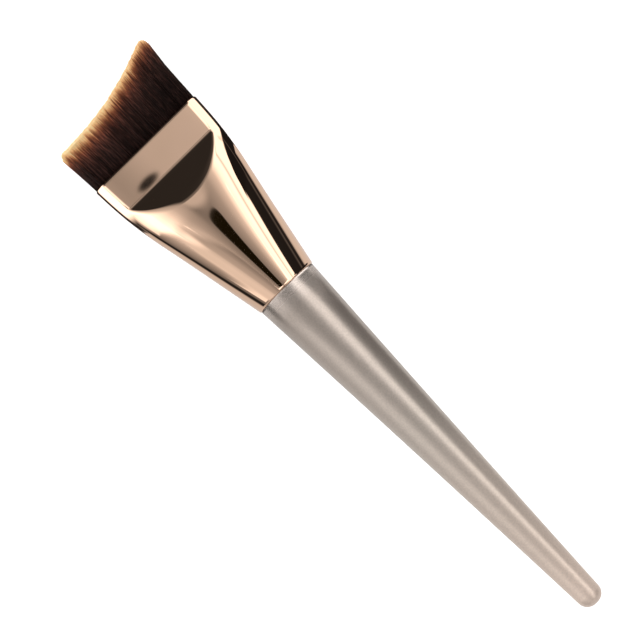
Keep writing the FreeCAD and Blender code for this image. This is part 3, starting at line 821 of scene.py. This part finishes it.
def paint_left_near(tree, x, y, z):
    """Pale board close to the flat band, darker towards the floor behind it."""
    beside = times(tree, smooth_step(tree, y, 0.0515, 0.0565), smooth_step(tree, z, -0.004, 0.002))
    level = math_node(tree, "MAXIMUM", curve(tree, z, LEFT_NEAR), times(tree, beside, 2.4))
    slanted = math_node(tree, "MULTIPLY_ADD", z, 0.165, y)
    return level, smooth_step(tree, slanted, 0.0472, 0.0560)


def paint_left_dim(tree, x, y, z):
    """Greyer board close to the taper, in front of the left panel."""
    short = minus(tree, curve(tree, z, [(0.0415, 0.0490), (0.050, 0.0555)]), y)
    ends = curve(tree, z, [(0.022, 0.0), (0.026, 1.0), (0.082, 1.0), (0.095, 0.0)])
    return curve(tree, z, LEFT_DIM), times(tree, ends, smooth_step(tree, short, 0.0, 0.0090))


def paint_handle_side(tree, x, y, z):
    """Board beside the handle, darkest at its thick end."""
    return curve(tree, y, HANDLE_SIDE), 0.95


def paint_handle_left(tree, x, y, z):
    """Grey board on the other side of the handle."""
    return 0.62, 0.80


def paint_handle_glint(tree, x, y, z):
    """Narrow light over the thick end of the handle."""
    return 1.7, smooth_step(tree, y, -0.020, 0.010)


def paint_low_side(tree, x, y, z):
    """Dark board below the floor's height, beside the flat band."""
    return 0.03, smooth_step(tree, y, 0.0270, 0.0335)


def make_studio():
    """Every board, named by what it does or where it stands."""
    make_card("flag", overhead(-0.30, 0.16, 0.2105, 0.262), paint_flag, (1.0, 0.79, 0.29))
    make_card("band_light", overhead(-0.40, 0.40, 0.170, 0.210), paint_band_light)
    make_card("left_panel", overhead(-8.0, -0.06, -0.4, 4.0, 0.004), paint_left_panel)
    make_card("front_panel", overhead(-0.62, 0.20, 0.262, 0.340, -0.004), paint_front_panel)
    make_card("right_side", upright(FAR_SIDE, 0.03, 1.5, -0.13, 0.34), paint_right_side)
    make_card("right_near", upright(NEAR_SIDE, 0.030, 0.060, -0.020, 0.0427), paint_right_near)
    make_card("left_near", upright(-NEAR_SIDE, 0.040, 0.110, -0.012, 0.033), paint_left_near)
    make_card("left_dim", upright(-NEAR_SIDE - 0.0001, 0.014, 0.0555, 0.022, 0.095), paint_left_dim)
    make_card("handle_side", upright(NEAR_SIDE, -0.085, 0.0155, -0.004, 0.026), paint_handle_side)
    make_card("handle_left", upright(-NEAR_SIDE, -0.085, 0.013, 0.000, 0.020), paint_handle_left)
    make_card("handle_glint", upright(NEAR_SIDE, -0.020, 0.0155, 0.034, 0.046), paint_handle_glint)
    make_card("left_low", upright(-FAR_SIDE, 0.03, 0.35, -0.8, -0.12), paint_low_side)
    make_card("right_low", upright(FAR_SIDE, 0.03, 0.35, -0.8, -0.13), paint_low_side)


def make_camera():
    """Looks straight down, turned so that the brush lies from corner to corner of the picture."""
    data = bpy.data.cameras.new("camera")
    camera = bpy.data.objects.new("camera", data)
    bpy.context.scene.collection.objects.link(camera)
    data.lens = 295.0
    data.sensor_width = 36.0
    camera.location = (-0.00019, 0.00773, 1.208)
    camera.rotation_euler = Euler((0, 0, math.radians(-44.57)))
    data.clip_start = 0.05
    bpy.context.scene.camera = camera


def dress(piece, material, slot, *nodes):
    """Give a piece its one material, put it on the brush and hide the CAD nodes it stands for."""
    piece.data.materials.clear()
    piece.data.materials.append(material)
    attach(piece, "root")
    if nodes:
        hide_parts(*nodes)


bpy.context.scene.view_settings.view_transform = "Standard"
make_camera()
make_world()
make_floor()
make_studio()
dress(make_ferrule(), ferrule_material(), "plated_brass", "ferrule")
dress(make_handle(), handle_material(), "painted_wood", "handle")
filament = bristle_material()
for half in make_bristles():
    dress(half, filament, "filament", "bristles")
dress(make_core(), plain_material("bundle_shadow", (0.02, 0.008, 0.006), 0.8), "filament")
for name, colour in (("epoxy_plug", (0.55, 0.42, 0.22)), ("handle_glue", (0.75, 0.68, 0.48))):
    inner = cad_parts[name]
    inner.data.materials.clear()
    inner.data.materials.append(plain_material(f"{name}_set", colour, 0.35))
